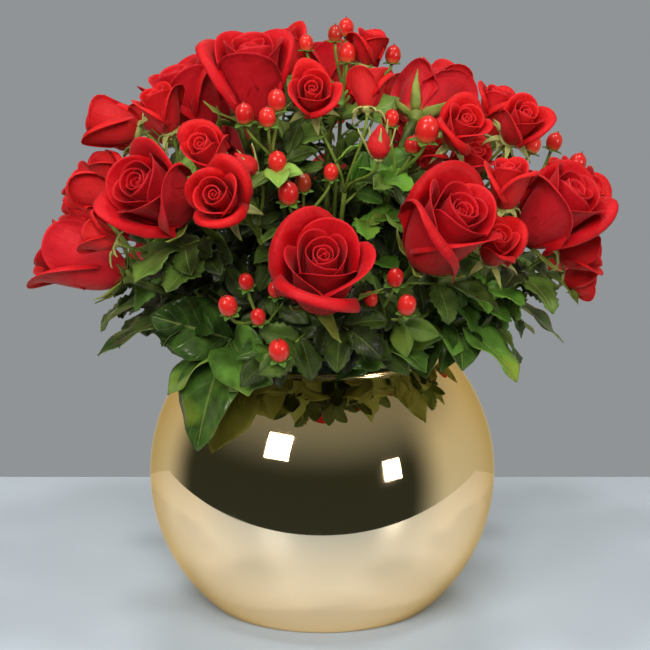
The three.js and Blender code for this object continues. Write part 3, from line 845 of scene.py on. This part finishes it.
def take_berry(berries, greens, head, seed):
    """Puts a berry and its calyx in: the berry is an outline turned round its axis."""
    rng = np.random.default_rng(seed)
    heights = np.array([.02, .06, .16, .31, .48, .66, .82, .95, 1.04, 1.1, 1.13, 1.19, 1.195])
    girths = np.array([.1, .2, .33, .41, .445, .44, .4, .32, .21, .09, .05, .035, .004])
    rings, faces = tube(heights[:, None] * [0, 0, 1], girths, BERRY_SIDES)
    across = np.linspace(-1, 1, BERRY_SIDES, endpoint=False)
    places = np.stack(np.broadcast_arrays(across, heights[:, None] / heights[-1], 1), -1).reshape(-1, 3)
    berries.take((head.set_in_place(rings), faces), berry_finish, places, rng.uniform(0, 1))
    out = turned(1, np.radians(rng.uniform(0, 72) + 72 * np.arange(5)), 0)
    up = np.radians(20)
    ways = out * np.cos(up) + [0, 0, np.sin(up)]
    ups = [0, 0, np.cos(up)] - out * np.sin(up)
    lengths = 0.52 * rng.uniform(0.85, 1.15, 5)
    sheets = leaf_sheets(out * 0.06 + [0, 0, 0.02], ways, ups, lengths, rng, **BERRY_SEPAL)
    take_plates(greens, head.set_in_place(sheets), LEAF_THICKNESS, berry_calyx_finish, 0.6)


for number, rows in enumerate(BERRY_SPRIGS, 1):
    node = f"berry_sprig_{number:02d}"
    heads = [Head(*row, row[0], BERRY_UPRIGHT * row[1]) for row in rows]
    berries, greens = Bunch(), Bunch()
    for order, head in enumerate(heads):
        take_berry(berries, greens, head, number * 10 + order + BERRY_SEED)
    line, _ = take_fork(greens, heads, SPRIG_STEM, SPRIG_FORK)
    rng = np.random.default_rng(number + SPRIG_LEAF_SEED)
    take_stem_leaves(greens, line, [0.8, 0.97, 0.88], SPRIG_LEAF, rng, rose_leaf_finish, "oval")
    berries.piece(node + "_berries", "berry_skin", node)
    greens.piece(node + "_greens", "stem_and_calyx", node)

# ---- Leaf trails ----
# A collar of leafy stems round the rim. Each is a thin woody shoot that leaves the foam level, arches over
# the lip and carries its leaves left and right in turn, the largest at its end. A row is the shoot's
# bearing, the radius and height of its end, its leaf length and the tilt of its end leaf.

LEAF_TRAILS = [
    [-14, 84, 168, 38, 88],
    [-42, 76, 165, 62, 146],
    [-66, 94, 174, 44, 104],
    [-90, 94, 178, 38, 104],
    [-118, 96, 176, 42, 108],
    [-146, 92, 170, 44, 116],
    [-172, 98, 178, 42, 102],
    [160, 92, 170, 44, 112],
    [132, 100, 178, 44, 100],
    [106, 94, 172, 44, 110],
    [80, 104, 182, 42, 118],
    [56, 92, 172, 44, 112],
    [26, 84, 168, 40, 88],
]
TRAIL_Z = 160 * MM
TRAIL_START = 55 * MM
TRAIL_STEM = 1.4 * MM
TRAIL_SHARES = np.array([0.12, 0.3, 0.45, 0.6, 0.75, 0.9])
TRAIL_SPLAYS = np.array([60, -55, 46, -44, 38, -36])
TRAIL_SIZES = np.array([0.75, 0.8, 0.85, 0.8, 0.75, 0.7])
TRAIL_LEAF = dict(width=0.78, fold=0.3, droop=0.8, wave=0.05, wide=9, long=18)
END_LEAF = dict(TRAIL_LEAF, width=0.7, fold=0.25, droop=0.5, wave=0.04)
TRAIL_SEED = 400

glossy_leaf_finish = leaf_blade("glossy_evergreen_leaf", "#061208", "#64943C", "#8A9C58", 0.25, 7.0,
                                (55 * MM, 98 * MM))

for number, (bearing, end_radius, end_z, length, end_tilt) in enumerate(LEAF_TRAILS, 1):
    node = f"leaf_trail_{number:02d}"
    rng = np.random.default_rng(number + TRAIL_SEED)
    outline = "ivy" if number % 2 else "oval"
    outward = toward(bearing, 90)
    start = TRAIL_START * outward + [0, 0, TRAIL_Z]
    end = end_radius * MM * outward + [0, 0, end_z * MM]
    end_way = toward(bearing, end_tilt)
    line = curve(start, outward, end, end_way, 16)
    trail = Bunch()
    trail.take(tube(line, np.linspace(1, 0.6, 16) * TRAIL_STEM, 6), stem_finish, tones=0.2)
    splays = TRAIL_SPLAYS * rng.uniform(0.8, 1.25, 6)
    sizes = length * MM * TRAIL_SIZES * rng.uniform(0.85, 1.15, 6)
    tilts = min(end_tilt, 100) + rng.uniform(-30, 18, 6)
    bases = line[(TRAIL_SHARES * (len(line) - 1)).astype(int)]
    ways = np.array([toward(bearing + splay, tilt) for splay, tilt in zip(splays, tilts)])
    ups = 0.8 * outward + [0, 0, 0.8] + rng.normal(0, 0.3, (6, 3))
    sheets = leaf_sheets(bases, ways, ups, sizes, rng, outline, **TRAIL_LEAF)
    take_plates(trail, sheets, LEAF_THICKNESS, glossy_leaf_finish, rng.uniform(0.25, 1, 6))
    end_up = [0, 0, 1] + 0.3 * outward
    last = leaf_sheets(line[-1:], end_way[None], end_up, [length * MM], rng, outline, **END_LEAF)
    take_plates(trail, last, LEAF_THICKNESS, glossy_leaf_finish, rng.uniform(0.1, 0.9))
    trail.piece(node + "_leaves", "leaf", node)

# ---- Table, light and camera ----
# A plain pale table, as deep as the one in the photograph, in a room of plain soft light. The bowl mirrors
# the table, four soft boxes, a dim room towards the viewer and pale walls behind. Two larger lights, one in
# front and one behind, light the flowers and the shade between them, and the bowl doesn't mirror them.

TABLE_BACK = 235 * MM
TABLE_DEEP = 472 * MM
TABLE_HALF = 580 * MM
TABLE_THICKNESS = 20 * MM
PAINT_PEEL = 2.5 * MM
PAINT_CLOUD = 330 * MM
LIGHTS_AIM = 170 * MM
CAMERA_PLACE = (0.0016, -1.1, 0.405)
CAMERA_TILT = 12.45


def table_top():
    """Painted board: pale, cool and satin, with the faint orange peel of sprayed paint. The bowl mirrors it
    warmer than it is seen, and whiter round the bowl than at the front: a painted pool of light, as if a
    lamp hung over it."""
    finish, tree = new_finish("painted_board", Roughness=0.42)
    spot = add_node(tree, "TexCoord")["Object"]
    peel = add_node(tree, "TexNoise", {"Vector": spot, "Scale": 1 / PAINT_PEEL, "Detail": 1.0})["Fac"]
    drift = add_node(tree, "TexNoise", {"Vector": spot, "Scale": 1 / PAINT_CLOUD, "Detail": 1.0})["Fac"]
    paint = laid_over(tree, linear("#A8B8CA"), "#B2C2D4", drift)
    depth = add_node(tree, "SeparateXYZ", {"Vector": spot})["Y"]
    # Painted light: all but camera rays see a brighter, warmer table, pooled round the bowl.
    glow = laid_over(tree, linear("#A6B0BA"), "#CCCAC4", depth, -230 * MM, -80 * MM)
    seen = add_node(tree, "LightPath")["Is Camera Ray"]
    shown = add_node(tree, "MixRGB", {"Fac": seen, "Color1": glow, "Color2": paint})["Color"]
    relief = add_node(tree, "Bump", {"Height": peel, "Strength": 0.05, "Distance": 0.2 * MM})["Normal"]
    return connect(finish, Base_Color=shown, Normal=relief)


turns = np.linspace(np.pi, 2 * np.pi, 97)
front = np.stack([TABLE_HALF * np.cos(turns), TABLE_BACK + TABLE_DEEP * np.sin(turns), 0 * turns], -1)
levels = np.array([-TABLE_THICKNESS, 0])[:, None, None] * [0, 0, 1]
points, faces = skin(front[None] + levels)
table_mesh = bpy.data.meshes.new("table")
table_mesh.from_pydata(points, [], faces)
table_mesh.materials.append(table_top())
table = put_in_scene("table", table_mesh)

world = bpy.data.worlds.new("studio")
bpy.context.scene.world = world
world.use_nodes = True
tree = world.node_tree
tree.nodes.clear()
view_way = add_node(tree, "TexCoord")["Generated"]
axes = add_node(tree, "SeparateXYZ", {"Vector": view_way})
away = add_node(tree, "Math", {0: axes["X"], 1: 0.3, 2: axes["Y"]}, operation="MULTIPLY_ADD")["Value"]
soft = {"interpolation_type": "SMOOTHSTEP"}
room = laid_over(tree, linear("#2E3026"), "#C2BAA0", away, -0.25, 0.35, **soft)
room = laid_over(tree, room, "#7C7C70", axes["Z"], 0.15, 0.75, **soft)
ray = add_node(tree, "LightPath")
lit = laid_over(tree, room, "#565656", ray["Is Diffuse Ray"])
backdrop = laid_over(tree, lit, "#909496", ray["Is Camera Ray"])
sky = add_node(tree, "Background", {"Color": backdrop, "Strength": 1.0})["Background"]
add_node(tree, "OutputWorld", {"Surface": sky})


def soft_box(name, bearing, elevation, distance, size, power, mirrored=True):
    """A square studio light, aimed at the middle of the dome, and mirrored in the bowl or not."""
    light = bpy.data.lights.new(name, "AREA")
    light.shape, light.size, light.energy = "SQUARE", size, power
    light.color = linear("#FFF6EA")[:3]
    lamp = put_in_scene(name, light)
    lamp.location = np.array([0, 0, LIGHTS_AIM]) + distance * toward(bearing, 90 - elevation)
    lamp.rotation_euler = (np.radians(90 - elevation), 0, np.radians(bearing))
    lamp.visible_glossy = mirrored


soft_box("left_soft_box", -31, 25, 1.5, 0.42, 7.5)
soft_box("right_soft_box", 46, 8, 1.5, 0.3, 5)
soft_box("high_left_soft_box", -50, 68, 1.75, 0.2, 8.5)
soft_box("high_right_soft_box", 50, 68, 1.75, 0.2, 8.5)
soft_box("front_fill", -2, 32, 2.0, 0.8, 30, False)
soft_box("back_fill", 180, 35, 2.0, 0.8, 18, False)

camera_data = bpy.data.cameras.new("camera")
camera_data.lens = 108.7
camera_data.sensor_width = 36.0
camera_data.clip_start = 0.05
camera = put_in_scene("camera", camera_data)
camera.location = CAMERA_PLACE
camera.rotation_euler = (np.radians(90 - CAMERA_TILT), 0, 0)
bpy.context.scene.camera = camera
bpy.context.scene.view_settings.view_transform = "Standard"
